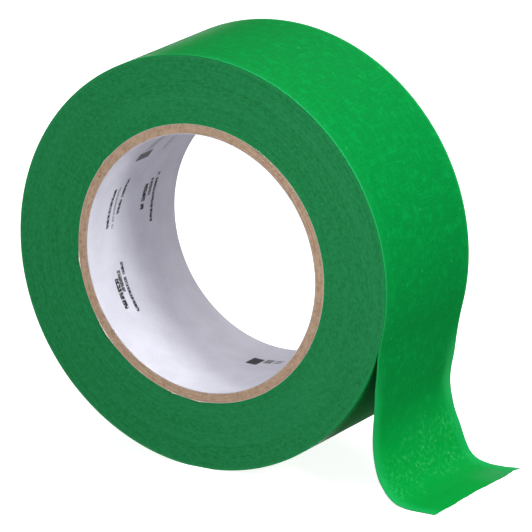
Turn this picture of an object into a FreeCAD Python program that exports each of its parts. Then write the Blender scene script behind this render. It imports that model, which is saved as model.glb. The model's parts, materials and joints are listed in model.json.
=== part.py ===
import FreeCAD, Part
import math
import os

import Sketcher

# A roll of masking tape standing on its rim.  The roll's axis is Y, the origin is the
# centre of the core's bore, and Z is up.  The free tail leaves the roll on the +X side,
# hangs down and turns outward until its foot lies on the floor.

SIZES = {
    "bore_radius": 38.5,        # a 3 inch core with a little room for a hub
    "liner_thickness": 0.2,     # white printed paper inside the core
    "ply_thickness": 0.54,      # each kraft board ply
    "ply_count": 5,
    "cover_thickness": 0.1,     # white paper round the outside of the core
    "roll_radius": 61.84,       # to the outer face of the tape at the peel line
    "tape_width": 48,
    "tape_thickness": 0.12,     # paper backing and adhesive together
    "adhesive_thickness": 0.03,
    "turn_length": 355,         # degrees of the last turn that are a strip of their own
    "flat_half_width": 4,       # the turns are pressed flat where the roll stands
    "peel_drop": 14,            # degrees from the +X side down to the peel line
    "sweep_radius": 45,         # middle stretch of the tail, where it turns outward
    "sweep_turn": 25,           # degrees
    "curl_radius": 6,           # the tight bend just above the floor
    "foot_length": 11.4,        # the flat end lying on the floor
}

doc = FreeCAD.newDocument("tape_roll")

sheet = doc.addObject("Spreadsheet::Sheet", "Sizes")
for row, (alias, value) in enumerate(SIZES.items(), start=1):
    sheet.set(f"A{row}", alias)
    sheet.set(f"B{row}", str(value))
    sheet.setAlias(f"B{row}", alias)
doc.recompute()


def cell(alias):
    """The sheet's value of one size, as a number."""
    return float(sheet.get(alias))


# Formulas that more than one sketch binds a radius to.
CORE_WALL = "(Sizes.liner_thickness + Sizes.ply_count * Sizes.ply_thickness + Sizes.cover_thickness)"
CORE_RADIUS = f"Sizes.bore_radius + {CORE_WALL}"
# The last turn is a spiral of two half circles, whose centres lie a quarter of the tape's
# thickness either side of the axis.
OVER_RADIUS = "Sizes.roll_radius - Sizes.tape_thickness / 4"
UNDER_RADIUS = "Sizes.roll_radius - 3 * Sizes.tape_thickness / 4"
# The hanging stretch has the radius that brings the foot down to the floor.
FLAT_DEPTH = f"sqrt(({UNDER_RADIUS}) ^ 2 - Sizes.flat_half_width ^ 2)"
FLOOR = f"(Sizes.tape_thickness / 4 * sin(Sizes.peel_drop) - {FLAT_DEPTH})"
SWEEP_DROP = "(Sizes.sweep_radius - Sizes.curl_radius) * sin(Sizes.sweep_turn)"
HANG_RADIUS = (f"-({FLOOR} + Sizes.tape_thickness + Sizes.curl_radius + {SWEEP_DROP})"
               " / sin(Sizes.peel_drop) - Sizes.roll_radius")


def formula_value(formula):
    """The value of a formula over the sheet, in millimetres."""
    return float(sheet.evalExpression(formula))


def polar(centre, radius, degrees):
    """The point at an angle and distance from a centre, in the sketch's plane."""
    angle = math.radians(degrees)
    return (centre[0] + radius * math.cos(angle), centre[1] + radius * math.sin(angle))


def new_sketch(label):
    """A body, with an empty sketch on the plane across the roll's axis."""
    body = doc.addObject("PartDesign::Body", label)
    sketch = body.newObject("Sketcher::SketchObject", f"{label}_outline")
    plane = next(item for item in body.Origin.OriginFeatures if item.Role == "XZ_Plane")
    sketch.AttachmentSupport = [(plane, "")]
    sketch.MapMode = "FlatFace"
    return body, sketch


def bind_radius(sketch, index, formula):
    """Tie the radius of a circle or arc to the sheet."""
    number = sketch.addConstraint(Sketcher.Constraint("Radius", index, formula_value(formula)))
    sketch.setExpression(f"Constraints[{number}]", formula)


def add_circle(sketch, formula):
    """A circle round the roll's axis."""
    circle = Part.Circle(FreeCAD.Vector(0, 0, 0), FreeCAD.Vector(0, 0, 1), formula_value(formula))
    index = sketch.addGeometry(circle, False)
    sketch.addConstraint(Sketcher.Constraint("Coincident", index, 3, -1, 1))
    bind_radius(sketch, index, formula)


def add_arc(sketch, centre, formula, start, end):
    """An arc from one angle to another, which may run either way; gives its two end points."""
    circle = Part.Circle(FreeCAD.Vector(*centre, 0), FreeCAD.Vector(0, 0, 1), formula_value(formula))
    low, high = sorted((math.radians(start), math.radians(end)))
    index = sketch.addGeometry(Part.ArcOfCircle(circle, low, high), False)
    bind_radius(sketch, index, formula)
    return ((index, 1), (index, 2)) if end > start else ((index, 2), (index, 1))


def add_line(sketch, start, end):
    """A straight edge; gives its two end points."""
    index = sketch.addGeometry(Part.LineSegment(FreeCAD.Vector(*start, 0), FreeCAD.Vector(*end, 0)), False)
    return ((index, 1), (index, 2))


def close_outline(sketch, edges, smooth=()):
    """Join each edge's end to the next edge's start, tangentially after the edges named smooth."""
    for number, edge in enumerate(edges):
        following = edges[(number + 1) % len(edges)]
        kind = "Tangent" if number in smooth else "Coincident"
        sketch.addConstraint(Sketcher.Constraint(kind, *edge[1], *following[0]))


def pin_centre(sketch, arc, centre):
    """Hold an arc's centre where it is."""
    for kind, distance in zip(("DistanceX", "DistanceY"), centre):
        sketch.addConstraint(Sketcher.Constraint(kind, -1, 1, arc[0][0], 3, distance))


def share_centre(sketch, first, second):
    """Give two arcs one centre."""
    sketch.addConstraint(Sketcher.Constraint("Coincident", first[0][0], 3, second[0][0], 3))


def pad_width(body, sketch):
    """Give the outline the tape's width, half to each side of the roll's middle."""
    pad = body.newObject("PartDesign::Pad", f"{body.Label}_pad")
    pad.Profile = sketch
    pad.SideType = "Symmetric"
    pad.setExpression("Length", "Sizes.tape_width")
    return body


def tube(label, inner, outer):
    """A plain ply of the core."""
    body, sketch = new_sketch(label)
    add_circle(sketch, inner)
    add_circle(sketch, outer)
    return pad_width(body, sketch)


def core():
    """The liner, the board plies and the cover, each wrapped on the one before."""
    board = "Sizes.bore_radius + Sizes.liner_thickness"
    plies = [tube("core_liner", "Sizes.bore_radius", board)]
    for number in range(int(cell("ply_count"))):
        inner = f"{board} + {number} * Sizes.ply_thickness"
        outer = f"{board} + {number + 1} * Sizes.ply_thickness"
        plies.append(tube(f"core_ply_{number + 1}", inner, outer))
    cover = f"{board} + Sizes.ply_count * Sizes.ply_thickness"
    plies.append(tube("core_cover", cover, CORE_RADIUS))
    return plies


def add_flat(sketch, start, end):
    """The level edge where the turns are pressed against the floor."""
    flat = add_line(sketch, start, end)
    sketch.addConstraint(Sketcher.Constraint("Horizontal", flat[0][0]))
    return flat


def spiral_frame():
    """The last turn's angles and centres: peel line, half way, strip's start, over, under."""
    peel = -cell("peel_drop")
    shift = cell("tape_thickness") / 4
    over = polar((0, 0), shift, peel)
    under = polar((0, 0), -shift, peel)
    return peel, peel + 180, peel + cell("turn_length"), over, under


def flat_angles(depth):
    """Where the flat starts and ends on the under half circle, at a depth below the tape's face."""
    flat = formula_value(FLAT_DEPTH) - depth
    half = math.degrees(math.acos(flat / (formula_value(UNDER_RADIUS) - depth)))
    return 270 - half, 270 + half


def windings():
    """Every turn under the last one, with the step that the last turn's strip butts against."""
    peel, half, start, over, under = spiral_frame()
    body, sketch = new_sketch("tape_windings")
    inner = formula_value(f"{UNDER_RADIUS} - Sizes.tape_thickness")
    outer = formula_value(UNDER_RADIUS)
    flat_start, flat_end = flat_angles(cell("tape_thickness"))
    edges = [
        add_arc(sketch, over, f"{OVER_RADIUS} - Sizes.tape_thickness", peel, half),
        add_arc(sketch, under, f"{UNDER_RADIUS} - Sizes.tape_thickness", half, flat_start),
        add_flat(sketch, polar(under, inner, flat_start), polar(under, inner, flat_end)),
        add_arc(sketch, under, f"{UNDER_RADIUS} - Sizes.tape_thickness", flat_end, start),
        add_line(sketch, polar(under, inner, start), polar(under, outer, start)),
        add_arc(sketch, under, UNDER_RADIUS, start, peel + 360),
    ]
    pin_centre(sketch, edges[0], over)
    share_centre(sketch, edges[1], edges[3])
    close_outline(sketch, edges, smooth=(0, 5))
    add_circle(sketch, CORE_RADIUS)
    return pad_width(body, sketch)


def outer_turn():
    """The last turn that is stuck down, from its step round to the peel line."""
    peel, half, start, over, under = spiral_frame()
    body, sketch = new_sketch("outer_turn")
    inner = formula_value(f"{UNDER_RADIUS} - Sizes.tape_thickness")
    outer = formula_value(UNDER_RADIUS)
    face = cell("roll_radius")
    back = face - cell("tape_thickness")
    flat_start, flat_end = flat_angles(0)
    back_start, back_end = flat_angles(cell("tape_thickness"))
    edges = [
        add_arc(sketch, over, OVER_RADIUS, peel, half),
        add_arc(sketch, under, UNDER_RADIUS, half, flat_start),
        add_flat(sketch, polar(under, outer, flat_start), polar(under, outer, flat_end)),
        add_arc(sketch, under, UNDER_RADIUS, flat_end, start),
        add_line(sketch, polar(under, outer, start), polar(under, inner, start)),
        add_arc(sketch, under, f"{UNDER_RADIUS} - Sizes.tape_thickness", start, back_end),
        add_flat(sketch, polar(under, inner, back_end), polar(under, inner, back_start)),
        add_arc(sketch, under, f"{UNDER_RADIUS} - Sizes.tape_thickness", back_start, half),
        add_arc(sketch, over, f"{OVER_RADIUS} - Sizes.tape_thickness", half, peel),
        add_line(sketch, polar((0, 0), back, peel), polar((0, 0), face, peel)),
    ]
    pin_centre(sketch, edges[0], over)
    for arc in (edges[3], edges[5], edges[7]):
        share_centre(sketch, edges[1], arc)
    close_outline(sketch, edges, smooth=(0, 7))
    return pad_width(body, sketch)


def tail_arcs():
    """The tail's three arcs, each as centre, radius formula of its paper face, and two angles."""
    peel = 180 - cell("peel_drop")
    bend = 180
    curl = 180 + cell("sweep_turn")
    hang_centre = polar((0, 0), cell("roll_radius") + formula_value(HANG_RADIUS), -cell("peel_drop"))
    bend_point = polar(hang_centre, formula_value(HANG_RADIUS), bend)
    sweep_centre = polar(bend_point, cell("sweep_radius"), 0)
    curl_centre = polar(sweep_centre, cell("sweep_radius") - cell("curl_radius"), curl)
    return {
        "hang": (hang_centre, HANG_RADIUS, peel, bend),
        "sweep": (sweep_centre, "Sizes.sweep_radius", bend, curl),
        "curl": (curl_centre, "Sizes.curl_radius", curl, 270),
    }


def bent_strip(label, arc, near, far):
    """A stretch of the tail that is one arc, between two depths below its paper face."""
    centre, radius, start, end = arc
    body, sketch = new_sketch(label)
    near_radius = formula_value(f"{radius} + {near}")
    far_radius = formula_value(f"{radius} + {far}")
    edges = [
        add_arc(sketch, centre, f"{radius} + {near}", start, end),
        add_line(sketch, polar(centre, near_radius, end), polar(centre, far_radius, end)),
        add_arc(sketch, centre, f"{radius} + {far}", end, start),
        add_line(sketch, polar(centre, far_radius, start), polar(centre, near_radius, start)),
    ]
    pin_centre(sketch, edges[0], centre)
    share_centre(sketch, edges[0], edges[2])
    close_outline(sketch, edges)
    return pad_width(body, sketch)


def foot_strip(label, arc, near, far):
    """The tail's last stretch: the tight bend, and the flat end on the floor."""
    centre, radius, start, end = arc
    body, sketch = new_sketch(label)
    near_radius = formula_value(f"{radius} + {near}")
    far_radius = formula_value(f"{radius} + {far}")
    near_bend = polar(centre, near_radius, end)
    far_bend = polar(centre, far_radius, end)
    near_end = (near_bend[0] + cell("foot_length"), near_bend[1])
    far_end = (far_bend[0] + cell("foot_length"), far_bend[1])
    flat = add_line(sketch, near_bend, near_end)
    number = sketch.addConstraint(Sketcher.Constraint("DistanceX", *flat[0], *flat[1], cell("foot_length")))
    sketch.setExpression(f"Constraints[{number}]", "Sizes.foot_length")
    edges = [
        add_arc(sketch, centre, f"{radius} + {near}", start, end),
        flat,
        add_line(sketch, near_end, far_end),
        add_line(sketch, far_end, far_bend),
        add_arc(sketch, centre, f"{radius} + {far}", end, start),
        add_line(sketch, polar(centre, far_radius, start), polar(centre, near_radius, start)),
    ]
    pin_centre(sketch, edges[0], centre)
    share_centre(sketch, edges[0], edges[4])
    close_outline(sketch, edges, smooth=(0, 3))
    return pad_width(body, sketch)


def tail():
    """Paper and adhesive of each stretch.  Depths are measured from the paper's outer face."""
    arcs = tail_arcs()
    paper = "Sizes.tape_thickness - Sizes.adhesive_thickness"
    whole = "Sizes.tape_thickness"
    return [
        bent_strip("tail_hang", arcs["hang"], "0", paper),
        bent_strip("hang_adhesive", arcs["hang"], paper, whole),
        bent_strip("tail_sweep", arcs["sweep"], "0", paper),
        bent_strip("sweep_adhesive", arcs["sweep"], paper, whole),
        foot_strip("tail_foot", arcs["curl"], "0", paper),
        foot_strip("foot_adhesive", arcs["curl"], paper, whole),
    ]


def check(pieces):
    """Stop if any object failed to rebuild or any piece isn't a sound solid."""
    for item in doc.Objects:
        if "Invalid" in item.State or "Error" in item.State:
            raise RuntimeError(f"{item.Label} failed: {item.State}")
    for piece in pieces:
        if piece.Shape.isNull() or not piece.Shape.isValid() or len(piece.Shape.Solids) != 1:
            raise RuntimeError(f"{piece.Label} isn't one sound solid")


def main():
    pieces = core() + [windings(), outer_turn()] + tail()
    doc.recompute()
    check(pieces)
    os.makedirs("parts", exist_ok=True)
    for piece in pieces:
        piece.Shape.exportStep(os.path.join("parts", f"{piece.Label}.step"))
        box = piece.Shape.BoundBox
        print(f"{piece.Label:15s} {piece.Shape.Volume:10.2f} mm3"
              f"  x {box.XMin:.2f}..{box.XMax:.2f}  z {box.ZMin:.3f}..{box.ZMax:.2f}")
    for name, (centre, radius, start, _) in tail_arcs().items():
        x, z = polar(centre, formula_value(radius), start)
        print(f"{name} starts at x {x:.4f}, z {z:.4f}")


main()
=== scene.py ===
"""A roll of green masking tape standing on its rim, with a free tail: its looks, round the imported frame."""
import json
import math

import bmesh
import bpy
import numpy as np
from mathutils import Matrix, Vector


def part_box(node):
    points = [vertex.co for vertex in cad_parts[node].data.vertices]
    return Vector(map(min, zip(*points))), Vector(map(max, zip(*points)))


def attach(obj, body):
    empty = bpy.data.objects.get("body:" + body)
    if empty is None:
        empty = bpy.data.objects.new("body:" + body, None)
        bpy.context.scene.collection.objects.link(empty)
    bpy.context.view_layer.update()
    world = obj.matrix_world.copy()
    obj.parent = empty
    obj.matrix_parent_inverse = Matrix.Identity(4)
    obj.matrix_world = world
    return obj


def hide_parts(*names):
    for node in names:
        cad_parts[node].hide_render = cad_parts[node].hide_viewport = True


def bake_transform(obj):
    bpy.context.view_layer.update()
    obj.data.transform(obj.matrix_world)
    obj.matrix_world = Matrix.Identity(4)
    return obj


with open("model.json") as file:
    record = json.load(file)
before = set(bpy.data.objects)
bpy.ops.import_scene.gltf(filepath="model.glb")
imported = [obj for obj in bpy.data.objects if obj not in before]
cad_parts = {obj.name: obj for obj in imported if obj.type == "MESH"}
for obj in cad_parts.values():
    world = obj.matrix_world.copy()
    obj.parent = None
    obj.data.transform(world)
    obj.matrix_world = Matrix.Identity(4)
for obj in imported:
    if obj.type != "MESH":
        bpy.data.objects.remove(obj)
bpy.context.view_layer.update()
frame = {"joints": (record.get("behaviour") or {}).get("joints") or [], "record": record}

# ---------------------------------------------------------------- sizes, in metres, from the frame

MM = 0.001
TURN = 2 * math.pi

joints = {joint["name"]: joint for joint in frame["joints"]}
mounts = {mount["name"]: mount for mount in frame["record"]["mounts"]}


def across(point):
    """The x and z of a point: the plane across the roll's axis, in which the tape is bent."""
    return np.array([point[0], point[2]])


PEEL = across(joints["tail_peel"]["pos_m"])
BEND = across(joints["tail_bend"]["pos_m"])
CURL = across(joints["tail_curl"]["pos_m"])

HALF_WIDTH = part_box("tape_windings")[1].y
BORE_RADIUS = mounts["core_bore"]["dims"]["r_mm"] * MM
PLIES = 5               # of board, glued one on the other
PLY_NODES = [f"core_ply_{number + 1}" for number in range(PLIES)]
LINER_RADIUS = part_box("core_liner")[1].x
PLY_RADII = [LINER_RADIUS] + [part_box(node)[1].x for node in PLY_NODES]
CORE_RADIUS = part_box("core_cover")[1].x
ROLL_RADIUS = float(np.hypot(*PEEL))
PEEL_ANGLE = math.atan2(PEEL[1], PEEL[0])
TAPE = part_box("outer_turn")[1].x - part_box("tape_windings")[1].x
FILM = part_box("tail_hang")[0].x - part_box("hang_adhesive")[0].x
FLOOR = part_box("outer_turn")[0].z
FOOT_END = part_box("tail_foot")[1].x

FILM_GAP = 0.002 * MM   # keeps the adhesive's face clear of the paper's


# ---------------------------------------------------------------- meshes

SHARP = math.radians(35)    # faces that meet at more than this keep a crease between them
RIPPLES = (3, 5, 8, 13, 21)     # how often each wave of a ripple goes up and down in a turn


def ripple(angle, seed):
    """A small even irregularity round a circle, from about -1 to 1, that differs with the seed."""
    total = sum(math.sin(seed * 1.7 + wave) * np.cos(wave * angle + seed * wave) for wave in RIPPLES)
    return total / len(RIPPLES) * 2


def bell(distance, centre, reach):
    """A smooth bump, 1 at its centre and 0 beyond its reach."""
    share = np.clip((distance - centre) / reach, -1, 1)
    return (1 + np.cos(math.pi * share)) / 2


def ease(distance, start, end):
    """A smooth change from 0 to 1."""
    share = np.clip((distance - start) / (end - start), 0, 1)
    return share * share * (3 - 2 * share)


def bumps(distance, shapes):
    """The sum of several bumps, each given as its centre, reach and size."""
    return sum(size * bell(distance, centre, reach) for centre, reach, size in shapes)


def ring_faces(rows, columns, offset, wrap):
    """The quads of one grid of points, whose rows may close round."""
    row, column = np.meshgrid(np.arange(rows if wrap else rows - 1), np.arange(columns - 1), indexing="ij")
    following = (row + 1) % rows
    quads = np.stack([row * columns + column, row * columns + column + 1,
                      following * columns + column + 1, following * columns + column], axis=-1)
    return quads.reshape(-1, 4) + offset


def edge_faces(line, offset):
    """The quads that join one line of points on the front to the same line on the back."""
    return np.stack([line[:-1], line[1:], line[1:] + offset, line[:-1] + offset], axis=-1)


def slab(name, front, back, wrap=False, strip=None):
    """A closed thin solid between two grids of points.  Strip holds each point's place when laid flat."""
    rows, columns = front.shape[:2]
    count = rows * columns
    index = np.arange(count).reshape(rows, columns)
    sides = [index[:, 0], index[:, -1]]
    if wrap:
        sides = [np.append(side, side[0]) for side in sides]
    else:
        sides += [index[0], index[-1]]
    faces = [ring_faces(rows, columns, 0, wrap), ring_faces(rows, columns, count, wrap)]
    faces += [edge_faces(side, count) for side in sides]
    points = np.concatenate([front.reshape(-1, 3), back.reshape(-1, 3)])
    mesh = bpy.data.meshes.new(name)
    mesh.from_pydata(points.tolist(), [], np.concatenate(faces).tolist())
    if strip is not None:
        corners = np.zeros(len(mesh.loops), int)
        mesh.loops.foreach_get("vertex_index", corners)
        layer = mesh.uv_layers.new(name="Strip")
        layer.uv.foreach_set("vector", np.tile(strip.reshape(-1, 2), (2, 1))[corners].ravel())
    solid = bmesh.new()
    solid.from_mesh(mesh)
    bmesh.ops.recalc_face_normals(solid, faces=solid.faces)
    solid.to_mesh(mesh)
    solid.free()
    mesh.shade_smooth()
    mesh.set_sharp_from_angle(angle=SHARP)
    piece = bpy.data.objects.new(name, mesh)
    bpy.context.scene.collection.objects.link(piece)
    return piece


def cylinder_points(radius, angle, width):
    """Points at a radius and angle round the roll's axis, and a place along it."""
    return np.stack([radius * np.cos(angle), width, radius * np.sin(angle)], axis=-1)


def finish_piece(piece, node, material):
    """Hides the CAD node that a piece stands for, and gives the piece its material."""
    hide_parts(node)
    piece.data.materials.append(material)
    return piece


# ---------------------------------------------------------------- materials

def tint(red, green, blue):
    """The linear colour that a shader takes, by the sRGB curve from three screen values up to 255."""
    shares = [value / 255 for value in (red, green, blue)]
    return (*[share / 12.92 if share <= 0.04045 else ((share + 0.055) / 1.055) ** 2.4 for share in shares], 1)


class Paint:
    """A material being made: its nodes feed the colour, roughness and bump of one shader."""

    def __init__(self, name, **constants):
        self.material = bpy.data.materials.new(name)
        self.material.use_nodes = True
        self.nodes = self.material.node_tree.nodes
        self.links = self.material.node_tree.links
        self.shader = self.nodes["Principled BSDF"]
        for socket, value in constants.items():
            self.put(self.shader, socket.replace("_", " "), value)

    def put(self, node, socket, value):
        """Sets an input, or links it if the value is another node's output."""
        if isinstance(value, bpy.types.NodeSocket):
            self.links.new(value, node.inputs[socket])
        else:
            node.inputs[socket].default_value = value

    def node(self, kind, inputs, output=0, **settings):
        """A new node; gives its output."""
        made = self.nodes.new(kind)
        for setting, value in settings.items():
            setattr(made, setting, value)
        for socket, value in inputs.items():
            self.put(made, socket, value)
        return made.outputs[output]

    def math(self, operation, *values):
        """The result of one of the Math node's operations."""
        return self.node("ShaderNodeMath", dict(enumerate(values)), operation=operation)

    def add(self, *values):
        """The sum of two or more values."""
        total = values[0]
        for value in values[1:]:
            total = self.math("ADD", total, value)
        return total

    def times(self, first, second):
        """The product of two values."""
        return self.math("MULTIPLY", first, second)

    def vector(self, x, y, z):
        """A vector of three values."""
        return self.node("ShaderNodeCombineXYZ", {0: x, 1: y, 2: z})

    def strip_place(self):
        """The place on the tape or liner laid flat: along its length and across its width, in metres."""
        place = self.node("ShaderNodeUVMap", {}, uv_map="Strip")
        parts = self.node("ShaderNodeSeparateXYZ", {0: place}).node.outputs
        return parts[0], parts[1]

    def object_place(self):
        """The point in the frame, its three coordinates, and its distance from the roll's axis."""
        place = self.node("ShaderNodeTexCoord", {}, output="Object")
        parts = self.node("ShaderNodeSeparateXYZ", {0: place}).node.outputs
        radius = self.math("SQRT", self.add(self.times(parts[0], parts[0]), self.times(parts[2], parts[2])))
        return place, parts, radius

    def round_place(self, parts, radius, arc, depth):
        """Coordinates for a grain drawn out round the roll: an arc long in radians, a depth thick."""
        return self.vector(
            self.times(self.math("DIVIDE", parts[0], radius), 1 / arc),
            self.times(self.math("DIVIDE", parts[2], radius), 1 / arc),
            self.times(radius, 1 / depth))

    def noise(self, vector, scale, detail, roughness=0.5, offset=0.0):
        """Smooth noise from 0 to 1, centred on 0.5.  Its scale counts patches to one unit of the vector."""
        if offset:
            vector = self.node("ShaderNodeVectorMath", {0: vector, 1: (offset, offset, offset)})
        return self.node("ShaderNodeTexNoise", {"Vector": vector, "Scale": scale, "Detail": detail,
                                                "Roughness": roughness}, output="Fac")

    def ease(self, value, start, end, low=0.0, high=1.0):
        """A smooth change from low to high as the value goes from start to end."""
        return self.node("ShaderNodeMapRange", {"Value": value, "From Min": start, "From Max": end,
                                                "To Min": low, "To Max": high},
                         interpolation_type="SMOOTHSTEP")

    def mix(self, share, first, second):
        """A colour between two others."""
        made = self.nodes.new("ShaderNodeMix")
        made.data_type = "RGBA"
        # the colours' sockets come after those for numbers and vectors
        self.put(made, 0, share)
        self.put(made, 6, first)
        self.put(made, 7, second)
        return made.outputs[2]

    def layered(self, colour, layers):
        """A colour with others laid over it in turn, each as thickly as its share says."""
        for share, upper in layers:
            colour = self.mix(share, colour, upper)
        return colour

    def finish(self, colour, roughness, height, distance):
        """Feeds the shader; the height is a share of the distance, in metres."""
        self.put(self.shader, "Base Color", colour)
        self.put(self.shader, "Roughness", roughness)
        bump = self.node("ShaderNodeBump", {"Height": height, "Distance": distance, "Strength": 1.0})
        self.put(self.shader, "Normal", bump)
        return self.material


FIBRE_SLIM = 0.12       # the width of a fibre in the weave as a share of its length
STREAK_SLIM = 0.08      # and of a streak in the painted sheen on the tail's foot


def paper_grain(paint, along, across_width):
    """The look of thin crepe paper on the flat tape: clouds, a faint weave and fine grain."""
    place = paint.vector(along, across_width, 0.0)
    drawn_across = paint.vector(along, paint.times(across_width, FIBRE_SLIM), 0.0)
    drawn_along = paint.vector(paint.times(along, FIBRE_SLIM), across_width, 0.0)
    clouds = paint.noise(place, 330, detail=5, roughness=0.65)
    ribs = paint.noise(drawn_across, 1500, detail=2, offset=3)
    threads = paint.noise(drawn_along, 1500, detail=2, offset=5)
    grain = paint.noise(place, 2600, detail=2, roughness=0.6, offset=7)
    return clouds, paint.times(paint.add(ribs, threads), 0.5), grain


def wear_and_painted_light(paint, along, across_width, inset):
    """Marks of handling on the tail, its blotches and small pale specks, and the painted light that lightens
    the paper down the tail.
    """
    place = paint.vector(along, across_width, 0.0)
    # painted light: the paper lightens down the tail, and sooner near its edges
    light = paint.ease(paint.add(along, paint.ease(inset, 12 * MM, 0.0, 0.0, 5 * MM)), 15 * MM, 43 * MM)
    # the wear starts further down on the near side
    onset = paint.add(along, paint.ease(across_width, -18 * MM, 16 * MM, -5 * MM, 0.0))
    stretch = paint.times(paint.ease(onset, 24 * MM, 36 * MM), paint.ease(along, 54 * MM, 46 * MM))
    patches = paint.ease(paint.noise(place, 130, detail=2, offset=5), 0.34, 0.58)
    blotches = paint.ease(paint.noise(place, 700, detail=3, roughness=0.6, offset=11), 0.46, 0.66)
    specks = paint.ease(paint.noise(place, 620, detail=1, offset=17), 0.68, 0.77)
    worn = paint.times(stretch, patches)
    return light, paint.times(worn, blotches), paint.times(worn, specks)


def painted_corner_sheen(paint, along, across_width):
    """A painted sheen: greyish streaks along the tail towards the far corner of its foot."""
    corner = paint.times(paint.ease(along, 51 * MM, 59 * MM), paint.ease(across_width, 5 * MM, 17 * MM))
    streaks = paint.noise(paint.vector(paint.times(along, STREAK_SLIM), across_width, 0.0), 900,
                          detail=3, offset=19)
    return paint.times(corner, paint.ease(streaks, 0.25, 0.7, 0.45, 1.0))


def tape_paper():
    """The smooth green face of the tape."""
    paint = Paint("tape_paper", Specular_IOR_Level=0.02, Sheen_Weight=0.2, Sheen_Roughness=0.14)
    along, width = paint.strip_place()
    inset = paint.math("SUBTRACT", HALF_WIDTH, paint.math("ABSOLUTE", width))
    clouds, weave, grain = paper_grain(paint, along, width)
    light, blotches, specks = wear_and_painted_light(paint, along, width, inset)
    scuffs = paint.noise(paint.vector(along, width, 0.0), 480, detail=2, offset=23)
    # a painted highlight makes both edges lighter, faintly on the roll and more so down the free tail
    free = paint.times(paint.ease(along, 2 * MM, 26 * MM, 0.1, 0.85), paint.ease(inset, 6 * MM, 0.0))
    # the far edge is bent back half way down the tail, and a painted highlight lightens it there
    bent = paint.times(paint.ease(along, 8 * MM, 16 * MM), paint.ease(along, 34 * MM, 22 * MM))
    painted_bend_highlight = paint.times(bent, paint.ease(width, HALF_WIDTH - 8 * MM, HALF_WIDTH, 0.0, 0.4))
    # a painted highlight: a thin lighter line along both slit edges
    painted_slit_highlight = paint.ease(inset, 1.1 * MM, 0.25 * MM, 0.0, 0.8)
    # painted light: the base is lighter down the tail
    base = paint.mix(light, tint(0, 119, 48), tint(0, 145, 53))
    colour = paint.layered(base, (
        (paint.ease(clouds, 0.48, 0.72, 0.0, 0.6), tint(4, 148, 64)),
        (paint.ease(weave, 0.46, 0.66, 0.0, 0.35), tint(2, 148, 64)),
        (paint.ease(grain, 0.46, 0.72, 0.0, 0.5), tint(6, 154, 74)),
        (paint.times(blotches, 0.55), tint(44, 172, 88)),
        (paint.ease(scuffs, 0.66, 0.78, 0.0, 0.4), tint(40, 178, 96)),
        (paint.times(specks, 0.4), tint(100, 190, 124)),
        # painted sheen towards the far corner of the foot
        (paint.times(painted_corner_sheen(paint, along, width), 0.5), tint(70, 142, 102)),
        # painted highlight along both edges
        (free, tint(24, 164, 84)),
        # painted highlight on the bent far edge
        (painted_bend_highlight, tint(56, 184, 104)),
        # painted highlight along the slit edges
        (painted_slit_highlight, tint(32, 154, 84)),
    ))
    roughness = paint.ease(paint.add(paint.times(clouds, 0.5), paint.times(grain, 0.5)), 0.3, 0.7, 0.66, 0.8)
    height = paint.add(paint.times(clouds, 0.4), paint.times(weave, 0.4), paint.times(grain, 0.2))
    return paint.finish(colour, roughness, height, 0.05 * MM)


def adhesive_film():
    """The tacky back of the tail: the green paper seen through a thin film of adhesive."""
    paint = Paint("adhesive_film", Specular_IOR_Level=0.15)
    along, width = paint.strip_place()
    clouds, weave, grain = paper_grain(paint, along, width)
    deep = paint.mix(paint.ease(clouds, 0.3, 0.7), tint(10, 128, 60), tint(20, 142, 72))
    colour = paint.mix(paint.ease(weave, 0.4, 0.65, 0.0, 0.5), deep, tint(44, 160, 92))
    roughness = paint.ease(weave, 0.3, 0.7, 0.40, 0.54)
    height = paint.add(paint.times(clouds, 0.7), paint.times(grain, 0.3))
    return paint.finish(colour, roughness, height, 0.04 * MM)


def tape_edges():
    """The wound slit edges of every turn: matt, finely streaked round the roll."""
    paint = Paint("tape_edges", Specular_IOR_Level=0.12)
    place, parts, radius = paint.object_place()
    turns = paint.noise(paint.round_place(parts, radius, 0.10, 0.20 * MM), 1.0, detail=3, roughness=0.6)
    streaks = paint.noise(paint.round_place(parts, radius, 0.022, 0.42 * MM), 1.0, detail=2, offset=4)
    mottle = paint.noise(place, 800, detail=3, roughness=0.6, offset=9)
    bands = paint.noise(paint.round_place(parts, radius, 1.5, 3.5 * MM), 1.0, detail=2, offset=2)
    dust = paint.noise(place, 1500, detail=1, offset=13)
    # painted highlights lighten the edges of the outer turns and of the last ones, and the innermost ones are
    # brighter
    painted_rim_highlight = paint.ease(radius, ROLL_RADIUS - 1.6 * MM, ROLL_RADIUS - 0.2 * MM, 0.0, 0.2)
    last = paint.ease(radius, ROLL_RADIUS - 0.7 * MM, ROLL_RADIUS - 0.35 * MM, 0.0, 0.7)
    innermost = paint.ease(radius, CORE_RADIUS + 0.8 * MM, CORE_RADIUS, 0.0, 0.6)
    base = paint.mix(paint.ease(mottle, 0.3, 0.7), tint(22, 128, 64), tint(36, 148, 84))
    colour = paint.layered(base, (
        (paint.ease(streaks, 0.3, 0.75, 0.0, 0.55), tint(52, 160, 100)),
        (paint.ease(turns, 0.35, 0.7, 0.0, 0.35), tint(20, 122, 62)),
        (paint.ease(bands, 0.4, 0.7, 0.0, 0.25), tint(48, 154, 98)),
        (paint.ease(dust, 0.76, 0.82, 0.0, 0.4), tint(120, 196, 140)),
        # painted highlight on the outer turns' edges
        (painted_rim_highlight, tint(76, 160, 112)),
        # painted highlight: a thin bright line at the rim
        (last, tint(10, 160, 78)),
        (innermost, tint(18, 150, 80)),
    ))
    height = paint.add(paint.times(turns, 0.5), paint.times(streaks, 0.3), paint.times(mottle, 0.2))
    return paint.finish(colour, paint.ease(mottle, 0.3, 0.7, 0.78, 0.92), height, 0.12 * MM)


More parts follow.
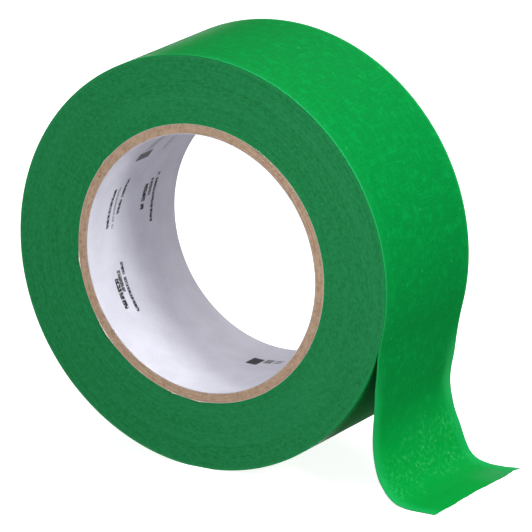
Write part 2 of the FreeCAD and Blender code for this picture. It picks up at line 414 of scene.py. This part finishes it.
def kraft_board():
    """The cut end of the core's board: brown, with faint glue lines, fibres and dark flecks."""
    paint = Paint("kraft_board", Specular_IOR_Level=0.2)
    place, parts, radius = paint.object_place()
    fibres = paint.noise(paint.round_place(parts, radius, 0.026, 0.45 * MM), 1.0, detail=3, roughness=0.65)
    blotches = paint.noise(place, 460, detail=3, roughness=0.6, offset=2)
    flecks = paint.noise(place, 900, detail=2, roughness=0.6, offset=6)
    # how far through its ply a point is, how near to a glue line, and how near to the cover
    ply = PLY_RADII[1] - PLY_RADII[0]
    depth = paint.math("FRACT", paint.times(paint.math("SUBTRACT", radius, LINER_RADIUS), 1 / ply))
    glue = paint.math("ABSOLUTE", paint.math("SUBTRACT", depth, 0.5))
    rim = paint.ease(radius, PLY_RADII[-1] - 0.7 * MM, PLY_RADII[-1], 0.0, 0.3)
    base = paint.mix(paint.ease(blotches, 0.3, 0.7), tint(178, 145, 118), tint(210, 178, 152))
    colour = paint.layered(base, (
        (paint.ease(fibres, 0.3, 0.75, 0.0, 0.8), tint(222, 192, 166)),
        (paint.ease(glue, 0.34, 0.5, 0.0, 0.3), tint(142, 110, 86)),
        (paint.ease(flecks, 0.64, 0.76, 0.0, 0.5), tint(112, 84, 66)),
        (rim, tint(206, 156, 138)),
    ))
    height = paint.add(paint.times(fibres, 0.6), paint.times(blotches, 0.2), paint.times(depth, 0.2))
    return paint.finish(colour, paint.ease(fibres, 0.3, 0.7, 0.8, 0.95), height, 0.10 * MM)


def cover_paper():
    """The thin white paper round the outside of the core."""
    paint = Paint("cover_paper", Specular_IOR_Level=0.25)
    place, _, _ = paint.object_place()
    fibres = paint.noise(place, 1500, detail=3)
    colour = paint.mix(paint.ease(fibres, 0.3, 0.7), tint(206, 202, 196), tint(232, 230, 226))
    return paint.finish(colour, paint.ease(fibres, 0.3, 0.7, 0.6, 0.75), fibres, 0.03 * MM)


# Printed marks on the liner, each a row of short bars: from and to in degrees round the bore, the
# row's middle at each end and its height in millimetres along the bore, and how dark it is.
PRINT_ROWS = (
    (155.0, 172.0, -6.4, -8.2, 1.3, 1.0),
    (157.0, 178.0, -9.9, -10.6, 1.0, 0.55),
    (158.5, 177.0, -12.3, -13.4, 1.3, 1.0),
    (159.0, 182.4, 11.6, 10.6, 1.3, 1.0),
    (161.0, 169.5, 8.8, 8.6, 1.5, 0.9),
    (163.0, 175.0, 6.1, 5.4, 1.9, 1.0),
    (194.0, 217.0, -7.6, -8.4, 1.3, 1.0),
    (197.0, 207.5, -10.1, -10.5, 1.7, 0.9),
    (200.0, 214.0, -12.1, -12.7, 1.9, 1.0),
)
# Plain printed marks: from and to in degrees, from and to in millimetres along the bore, how far
# their edges fade out, in millimetres, and how dark.
PRINT_BLOCKS = (
    (139.5, 144.5, -9.0, -2.0, 0.2, 0.85),
    (128.0, 139.0, -7.5, -3.5, 1.5, 0.35),
    (135.0, 143.5, 5.8, 6.2, 0.2, 0.9),
    (135.0, 140.5, 7.3, 7.6, 0.2, 0.8),
    (265.5, 271.0, 6.0, 11.4, 0.2, 1.0),
    (272.0, 276.0, 8.4, 12.0, 0.2, 0.7),
    (277.0, 281.0, 8.4, 12.0, 0.2, 0.45),
)
OLIVE_BLOCKS = 2        # the first blocks are olive, and the rest are black
BORE_DEGREE = BORE_RADIUS * TURN / 360      # the length of one degree round the bore
BAR_FADE = 0.12 * MM    # how far the edges of a row of bars fade out


def between(paint, value, low, high, soft):
    """1 between two values and 0 outside, with a soft change."""
    return paint.times(paint.ease(value, low - soft, low + soft), paint.ease(value, high + soft, high - soft))


def print_bars(paint, around, width, row):
    """One row of short broken bars, like a line of type too small to read."""
    start, end, first, last, tall, ink = row
    middle = paint.node("ShaderNodeMapRange", {
        "Value": around, "From Min": start * BORE_DEGREE, "From Max": end * BORE_DEGREE,
        "To Min": first * MM, "To Max": last * MM})
    inside = between(paint, around, start * BORE_DEGREE, end * BORE_DEGREE, BAR_FADE)
    from_middle = paint.math("SUBTRACT", width, middle)
    height = between(paint, from_middle, -tall / 2 * MM, tall / 2 * MM, BAR_FADE)
    # words with gaps between them, broken up into strokes
    words = paint.ease(paint.noise(paint.vector(around, first, 0.0), 420, detail=0), 0.28, 0.32)
    strokes = paint.noise(paint.vector(around, paint.times(width, 0.7), first), 1700, detail=0)
    bars = paint.times(words, paint.ease(strokes, 0.38, 0.48, 0.35, 1.0))
    return paint.times(paint.times(inside, height), paint.times(bars, ink))


def print_block(paint, around, width, block):
    """A plain printed block."""
    start, end, low, high, soft, ink = block
    inside = between(paint, around, start * BORE_DEGREE, end * BORE_DEGREE, soft * MM)
    row = between(paint, width, low * MM, high * MM, soft * MM)
    return paint.times(paint.times(inside, row), ink)


def darkest(paint, marks):
    """The most ink that any of several marks lays at a point."""
    most = marks[0]
    for mark in marks[1:]:
        most = paint.math("MAXIMUM", most, mark)
    return most


def liner_paper():
    """The white paper that lines the bore, printed with plain marks."""
    paint = Paint("liner_paper", Specular_IOR_Level=0.3)
    around, width = paint.strip_place()
    place = paint.vector(around, width, 0.0)
    fibres = paint.noise(place, 1400, detail=3)
    clouds = paint.noise(place, 120, detail=3, offset=4)
    paper = paint.mix(paint.ease(clouds, 0.3, 0.7), tint(212, 211, 222), tint(222, 221, 232))
    paper = paint.mix(paint.ease(fibres, 0.4, 0.7, 0.0, 0.4), paper, tint(230, 229, 240))
    rows = [print_bars(paint, around, width, row) for row in PRINT_ROWS]
    blocks = [print_block(paint, around, width, block) for block in PRINT_BLOCKS]
    printed = paint.mix(darkest(paint, rows + blocks[OLIVE_BLOCKS:]), paper, tint(24, 24, 30))
    colour = paint.mix(darkest(paint, blocks[:OLIVE_BLOCKS]), printed, tint(60, 66, 46))
    height = paint.add(paint.times(fibres, 0.5), paint.times(clouds, 0.5))
    return paint.finish(colour, paint.ease(fibres, 0.3, 0.7, 0.5, 0.62), height, 0.03 * MM)


# ---------------------------------------------------------------- the core

SEAM_LEAD = 0.32        # turns that a spiral ply's butt seam makes from one end to the other
LINER_SEAM = math.radians(-8)       # where the liner's print does not reach
FIRST_SEAM = math.radians(-68)      # the innermost board ply's
SEAM_STEP = 0.38        # turns from one board ply's seam to the next, so that no two meet
CUT_FROM = 0.97         # the share of the half width beyond which a ply's cut end wavers


def spiral_ply(name, inner, outer, seam, gap, rows, seed, rough):
    """A strip of paper or board wound once round the core, with its butt seam running in a spiral."""
    along = np.linspace(-1, 1, 33)
    share = np.linspace(0, 1, rows)
    angle = (seam + TURN / 2 * SEAM_LEAD * along[None, :]
             + gap / outer / 2 + share[:, None] * (TURN - gap / outer))
    ends = np.clip((np.abs(along) - CUT_FROM) / (1 - CUT_FROM), 0, 1) * np.sign(along)
    grids = []
    for radius, shift in ((inner, 0), (outer, 3)):
        width = along * HALF_WIDTH + ends * rough * ripple(angle, seed + shift)
        grids.append(cylinder_points(radius, angle, width))
    strip = np.stack([angle * BORE_RADIUS, np.broadcast_to(along * HALF_WIDTH, angle.shape)], axis=-1)
    return slab(name, *grids, strip=strip)


def core(liner, board, cover):
    """The printed liner, the board plies and the white cover."""
    piece = spiral_ply("bore_liner", BORE_RADIUS, LINER_RADIUS, seam=LINER_SEAM, gap=0.15 * MM,
                       rows=257, seed=2, rough=0.02 * MM)
    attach(finish_piece(piece, "core_liner", liner), "roll")
    for number, node in enumerate(PLY_NODES):
        inner, outer = PLY_RADII[number:number + 2]
        seam = FIRST_SEAM + number * TURN * SEAM_STEP
        piece = spiral_ply(f"board_ply_{number + 1}", inner, outer, seam=seam, gap=0.45 * MM,
                           rows=193, seed=number + 5, rough=0.06 * MM)
        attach(finish_piece(piece, node, board), "roll")
    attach(finish_piece(cover_sleeve(), "core_cover", cover), "roll")


# Where the cover's ends are frayed: degrees round the core, and reach in degrees.
COVER_FRAYS = ((60, 4), (141, 5), (187, 5), (219, 11), (257, 4), (269, 6), (330, 4))
FRAY_HEIGHT = 0.22 * MM     # how far a fray stands proud of the core's end
FRAY_FLARE = 0.8        # how far a fray leans out over the tape, as a share of its height
FRAY_FROM = 0.99        # the share of the half width beyond which the cover frays


def cover_sleeve():
    """The cover, which stands proud of the core's ends here and there and leans out over the tape."""
    angle = np.linspace(0, TURN, 360, endpoint=False)[:, None]
    along = np.array([-1, -0.998, -FRAY_FROM, -0.6, 0, 0.6, FRAY_FROM, 0.998, 1])[None, :]
    frays = sum(bell((angle - math.radians(place)) % TURN, 0, math.radians(reach))
                + bell((math.radians(place) - angle) % TURN, 0, math.radians(reach))
                for place, reach in COVER_FRAYS)
    proud = np.clip(frays * (0.7 + 0.5 * ripple(angle, 4.4)), 0, 1) * FRAY_HEIGHT
    lift = np.clip((np.abs(along) - FRAY_FROM) / (1 - FRAY_FROM), 0, 1)
    width = along * HALF_WIDTH + np.sign(along) * lift * proud
    grids = [cylinder_points(radius + lift * proud * FRAY_FLARE, angle + 0 * along, width)
             for radius in (PLY_RADII[-1], CORE_RADIUS)]
    return slab("cover_sleeve", *grids, wrap=True)


# ---------------------------------------------------------------- the wound tape

SET_IN = 0.05 * MM      # how far the wound turns' edges lie inside the last turn's
BAND_RELIEF = 0.030 * MM        # how far bands of turns stand in or out
WAVER_RELIEF = 0.020 * MM       # how far each turn's edge wavers
EDGE_WAVER = 0.02 * MM  # how far the last turn's slit edges waver
EDGE_FROM = 0.9         # the share of the half width beyond which they do


def face_radius(angle):
    """The tape's outer face, which comes in by one thickness of tape in a turn from the peel line."""
    share = ((angle - PEEL_ANGLE) / TURN) % 1.0
    return ROLL_RADIUS - TAPE * share


def pressed(points, depth):
    """Flattens what would reach lower than the floor, less a depth into the tape."""
    points[..., 2] = np.maximum(points[..., 2], FLOOR + depth)
    return points


def windings(material):
    """Every turn under the last, whose slit edges aren't quite level."""
    angle = PEEL_ANGLE + np.linspace(0, TURN, 420, endpoint=False)[:, None]
    share = np.linspace(0, 1, 52)[None, :]
    outer = face_radius(angle) - TAPE
    radius = CORE_RADIUS + share * (outer - CORE_RADIUS)
    grids = []
    for side, seed in ((-1, 1.0), (1, 6.0)):
        # bands of turns stand a little in or out, by two waves out of step, and waver round the roll
        phase = np.arange(share.size)[None, :] * 0.9 + seed
        bands = np.sin(phase * 1.9) * 0.5 + np.sin(phase * 0.83 + 1) * 0.5
        relief = BAND_RELIEF * bands + WAVER_RELIEF * ripple(angle + share * 0.7, seed)
        grids.append(pressed(cylinder_points(radius, angle, side * (HALF_WIDTH - SET_IN + relief)), TAPE))
    piece = slab("wound_turns", *grids, wrap=True)
    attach(finish_piece(piece, "tape_windings", material), "roll")


def outer_turn(material):
    """The last turn that is stuck down, as far as the peel line."""
    share = np.linspace(0, 1, 721)[:, None]
    across_width = np.linspace(-1, 1, 25)[None, :]
    angle = PEEL_ANGLE + share * TURN + 0 * across_width
    radius = ROLL_RADIUS - TAPE * share
    edge = np.clip((np.abs(across_width) - EDGE_FROM) / (1 - EDGE_FROM), 0, 1) * np.sign(across_width)
    width = across_width * HALF_WIDTH + edge * EDGE_WAVER * ripple(angle, 3.3)
    grids = [pressed(cylinder_points(radius - depth, angle, width), depth) for depth in (0, TAPE)]
    strip = np.stack([-share * TURN * ROLL_RADIUS + 0 * across_width, width], axis=-1)
    piece = slab("last_turn", *grids, strip=strip)
    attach(finish_piece(piece, "outer_turn", material), "roll")


# ---------------------------------------------------------------- the tail

def arc_through(start, heading, end):
    """The length and turn of the arc that leaves a point at a heading and reaches another."""
    chord = end - start
    turn = 2 * (math.atan2(chord[1], chord[0]) - heading)
    return float(np.hypot(*chord)) * (turn / 2) / math.sin(turn / 2), turn


def tail_stretches():
    """The tail's four stretches, each with its start, heading, length and turn, on the paper's face."""
    heading = PEEL_ANGLE - math.pi / 2
    stretches = []
    for start, end in ((PEEL, BEND), (BEND, CURL)):
        length, turn = arc_through(start, heading, end)
        stretches.append((start, heading, length, turn))
        heading += turn
    curl_radius = (CURL[1] - FLOOR - TAPE) / (1 - math.cos(heading))
    stretches.append((CURL, heading, curl_radius * -heading, -heading))
    flat_start = CURL + curl_radius * np.array([-math.sin(heading), math.cos(heading) - 1])
    stretches.append((flat_start, 0.0, FOOT_END - flat_start[0], 0.0))
    return stretches


STRETCHES = tail_stretches()
LENGTHS = [stretch[2] for stretch in STRETCHES]
TAIL_LENGTH = sum(LENGTHS)
BEND_AT = LENGTHS[0]
CURL_AT = LENGTHS[0] + LENGTHS[1]
FLAT_AT = CURL_AT + LENGTHS[2]
UPPER_SEAM = BEND_AT / 2                    # the pieces meet half way between the joints
LOWER_SEAM = (BEND_AT + CURL_AT) / 2

# How far the tail leans out from its middle line at each edge and over its whole width: each bump's
# place along the tail, its reach and its size.
NEAR_LEAN = ((8 * MM, 8 * MM, 0.35 * MM), (21 * MM, 20 * MM, 1.35 * MM))
FAR_LEAN = ((22.5 * MM, 9 * MM, -0.7 * MM), (38.5 * MM, 9 * MM, 0.9 * MM))
WHOLE_LEAN = ((47 * MM, 8 * MM, 1.0 * MM),)
# How the lower tail has moved: the places along it where that starts and ends, and how far it goes.
DRIFT = (10 * MM, 52 * MM, 2.0 * MM)                        # towards the near side
SLIDE = (24 * MM, 46 * MM, 1.2 * MM)                        # further out
CORNER_LIFT = (TAIL_LENGTH - 4 * MM, TAIL_LENGTH, 0.3 * MM)     # the foot's far corner, off the floor
CORNER_REACH = 0.1      # the share of the width that lifts
# The waves of the tail's cut end: each wave's size, its pace across the width and its phase.
CUT_WAVES = ((0.16 * MM, 9, 0), (0.08 * MM, 31, 1), (0.04 * MM, 83, 0))
CUT_BULGE = 0.4 * MM    # how far the cut bulges out in its far half
SLIVER = 1.2 * MM       # how far the sliver at the far corner runs past the cut
SLIVER_FROM = 0.955     # the share of the width where it starts
ROW_STEP = 0.4 * MM     # from one row of points to the next


def middle_line(distance):
    """The point and heading at a distance along the tail from the peel line."""
    point = np.zeros(distance.shape + (2,))
    heading = np.zeros(distance.shape)
    done = 0.0
    for start, toward, length, turn in STRETCHES:
        inside = distance >= done
        step = distance - done
        rate = turn / length
        ahead = toward + rate * step
        if turn:
            chord = [np.sin(ahead) - math.sin(toward), math.cos(toward) - np.cos(ahead)]
            moved = np.stack(chord, axis=-1) / rate
        else:
            moved = step[..., None] * np.array([math.cos(toward), math.sin(toward)])
        point = np.where(inside[..., None], start + moved, point)
        heading = np.where(inside, ahead, heading)
        done += length
    return point, heading


def moved_by(distance, move):
    """How far a movement of the lower tail has gone at a distance along it."""
    start, end, size = move
    return size * ease(distance, start, end)


def tail_points(distance, share, depth):
    """Points of the tail at a distance along it, a share of its width and a depth below its face."""
    point, heading = middle_line(distance)
    outward = np.stack([-np.sin(heading), np.cos(heading)], axis=-1)
    lean = (bumps(distance, NEAR_LEAN) * (1 - share) + bumps(distance, FAR_LEAN) * share
            + bumps(distance, WHOLE_LEAN) + moved_by(distance, CORNER_LIFT) * bell(share, 1.0, CORNER_REACH))
    place = point + outward * (lean - depth)[..., None]
    width = (2 * share - 1) * HALF_WIDTH - moved_by(distance, DRIFT)
    return np.stack([place[..., 0] + moved_by(distance, SLIDE), width, place[..., 1]], axis=-1)


def end_cut(share):
    """How far the tail's cut end runs past its length: a wave, a bulge, and a sliver at the far corner."""
    wave = sum(size * np.sin(share * pace + phase) for size, pace, phase in CUT_WAVES)
    sliver = np.clip((share - SLIVER_FROM) / (1 - SLIVER_FROM), 0, 1)
    return wave + CUT_BULGE * bell(share, 0.8, 0.4) + SLIVER * sliver


def tail_piece(name, start, end, depths, last):
    """A stretch of the tail's paper or adhesive."""
    rows = int((end - start) / ROW_STEP) + 1
    share = np.linspace(0, 1, 97)[None, :]
    finish = end + end_cut(share) if last else end
    distance = start + np.linspace(0, 1, rows)[:, None] * (finish - start) + 0 * share
    share = share + 0 * distance
    grids = [tail_points(distance, share, depth) for depth in depths]
    strip = np.stack([distance, (2 * share - 1) * HALF_WIDTH], axis=-1)
    return slab(name, *grids, strip=strip)


def tail(paper, adhesive):
    """Each stretch of the tail's paper, and its film of adhesive."""
    clear = 1.0 * MM        # a margin from the seams
    stuck = 0.2 * MM        # a short length past the peel line
    stretches = (
        ("peel", 0.0, UPPER_SEAM, "roll", "hang", stuck, UPPER_SEAM - clear, "tail_hang", "hang_adhesive"),
        ("drop", UPPER_SEAM, LOWER_SEAM, "hang", "sweep", UPPER_SEAM + clear, LOWER_SEAM - clear,
         "tail_sweep", "sweep_adhesive"),
        ("foot", LOWER_SEAM, TAIL_LENGTH, "sweep", "foot", LOWER_SEAM + clear, FLAT_AT + clear,
         "tail_foot", "foot_adhesive"),
    )
    layers = (
        ("paper", (0.0, TAPE - FILM), "tape_paper", paper),
        ("adhesive", (TAPE - FILM + FILM_GAP, TAPE), "adhesive_film", adhesive),
    )
    for name, start, end, before, after, bend_start, bend_end, *nodes in stretches:
        for (layer, depths, slot, material), node in zip(layers, nodes):
            piece = tail_piece(f"tail_{name}_{layer}", start, end, depths, last=end == TAIL_LENGTH)
            finish_piece(piece, node, material)
            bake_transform(piece)


# ---------------------------------------------------------------- the studio

CENTRE = Vector((0, 0, 0))
VIEW_AZIMUTH = math.radians(31.12)
VIEW_ELEVATION = math.radians(16.76)
VIEW_DISTANCE = 1.7302
VIEW_SHIFT = (6.65 * MM, -6.45 * MM)       # of the picture's middle from the roll's, right and up
LENS = 402.3                               # millimetres
SIGHT = 20.0                               # how far the camera sees

ROOM_LIGHT = 0.4        # the strength of the even light from all round
# Each softbox: its name, its azimuth and elevation in degrees, its distance and width, and its power.
SOFTBOXES = (
    ("key", 70.7, 26.6, 0.5, 0.09, 1.5),
    ("fill", 45, 5, 0.3, 0.2, 0.06),
    ("overhead", 50, 75, 0.4, 0.3, 0.83),
    ("behind", 180, 45, 1.0, 0.8, 3.7),
)
FLOOR_REACH = 5.0       # from the middle to each side
FLOOR_DROP = 0.02 * MM  # keeps the floor clear of the roll
BACKDROP_RADIUS = 4.5   # small enough for every view of the roll to reach it


def direction(azimuth, elevation):
    """Away from the roll: azimuth 0 is the near side and a quarter turn is the tail's side."""
    return Vector((math.sin(azimuth) * math.cos(elevation), -math.cos(azimuth) * math.cos(elevation),
                   math.sin(elevation)))


def camera():
    """A long lens from the right of the near side, a little above."""
    back = direction(VIEW_AZIMUTH, VIEW_ELEVATION)
    right = Vector((math.cos(VIEW_AZIMUTH), math.sin(VIEW_AZIMUTH), 0))
    up = back.cross(right)
    lens = bpy.data.cameras.new("camera")
    lens.lens = LENS
    lens.clip_end = SIGHT
    eye = bpy.data.objects.new("camera", lens)
    place = CENTRE + VIEW_SHIFT[0] * right + VIEW_SHIFT[1] * up + VIEW_DISTANCE * back
    turned = Matrix((right, up, back)).transposed().to_4x4()
    eye.matrix_world = Matrix.Translation(place) @ turned
    bpy.context.scene.collection.objects.link(eye)
    bpy.context.scene.camera = eye


def softbox(name, azimuth, elevation, distance, size, power):
    """A square light that faces the roll; its angles are in degrees."""
    away = direction(math.radians(azimuth), math.radians(elevation))
    light = bpy.data.lights.new(name, "AREA")
    light.size = size
    light.energy = power
    lamp = bpy.data.objects.new(name, light)
    lamp.location = CENTRE + distance * away
    lamp.visible_camera = False
    lamp.rotation_mode = "QUATERNION"
    lamp.rotation_quaternion = away.to_track_quat("Z", "Y")
    bpy.context.scene.collection.objects.link(lamp)


def floor():
    """A plain white floor, just under the roll, which takes its shadow and lights nothing."""
    mesh = bpy.data.meshes.new("floor")
    corners = [(x * FLOOR_REACH, y * FLOOR_REACH, FLOOR - FLOOR_DROP)
               for x, y in ((-1, -1), (1, -1), (1, 1), (-1, 1))]
    mesh.from_pydata(corners, [], [(0, 1, 2, 3)])
    plane = bpy.data.objects.new("floor", mesh)
    bpy.context.scene.collection.objects.link(plane)
    mesh.materials.append(studio_white("studio_floor", brightness=0.6, glow=0.9))
    plane.visible_diffuse = False
    plane.visible_glossy = False


def studio_white(name, brightness, glow):
    """A plain white that glows, so that it stays white under soft light."""
    paint = Paint(name, Roughness=0.9, Specular_IOR_Level=0.0)
    paint.put(paint.shader, "Base Color", (brightness, brightness, brightness, 1))
    paint.put(paint.shader, "Emission Color", (1, 1, 1, 1))
    paint.put(paint.shader, "Emission Strength", glow)
    return paint.material


def backdrop():
    """A plain white background all round, which lights nothing."""
    mesh = bpy.data.meshes.new("backdrop")
    ball = bmesh.new()
    bmesh.ops.create_uvsphere(ball, u_segments=32, v_segments=16, radius=BACKDROP_RADIUS)
    ball.to_mesh(mesh)
    ball.free()
    mesh.materials.append(studio_white("studio_backdrop", brightness=0.0, glow=1.0))
    dome = bpy.data.objects.new("backdrop", mesh)
    bpy.context.scene.collection.objects.link(dome)
    dome.visible_diffuse = False
    dome.visible_glossy = False
    dome.visible_transmission = False
    dome.visible_shadow = False


def studio():
    """Even white room light and four softboxes."""
    world = bpy.data.worlds.new("studio")
    world.use_nodes = True
    room = world.node_tree.nodes["Background"].inputs
    room["Color"].default_value = (1, 1, 1, 1)
    room["Strength"].default_value = ROOM_LIGHT
    bpy.context.scene.world = world
    for box in SOFTBOXES:
        softbox(*box)
    bpy.context.scene.view_settings.view_transform = "Standard"


camera()
studio()
floor()
backdrop()
core(liner_paper(), kraft_board(), cover_paper())
windings(tape_edges())
face = tape_paper()
outer_turn(face)
tail(face, adhesive_film())
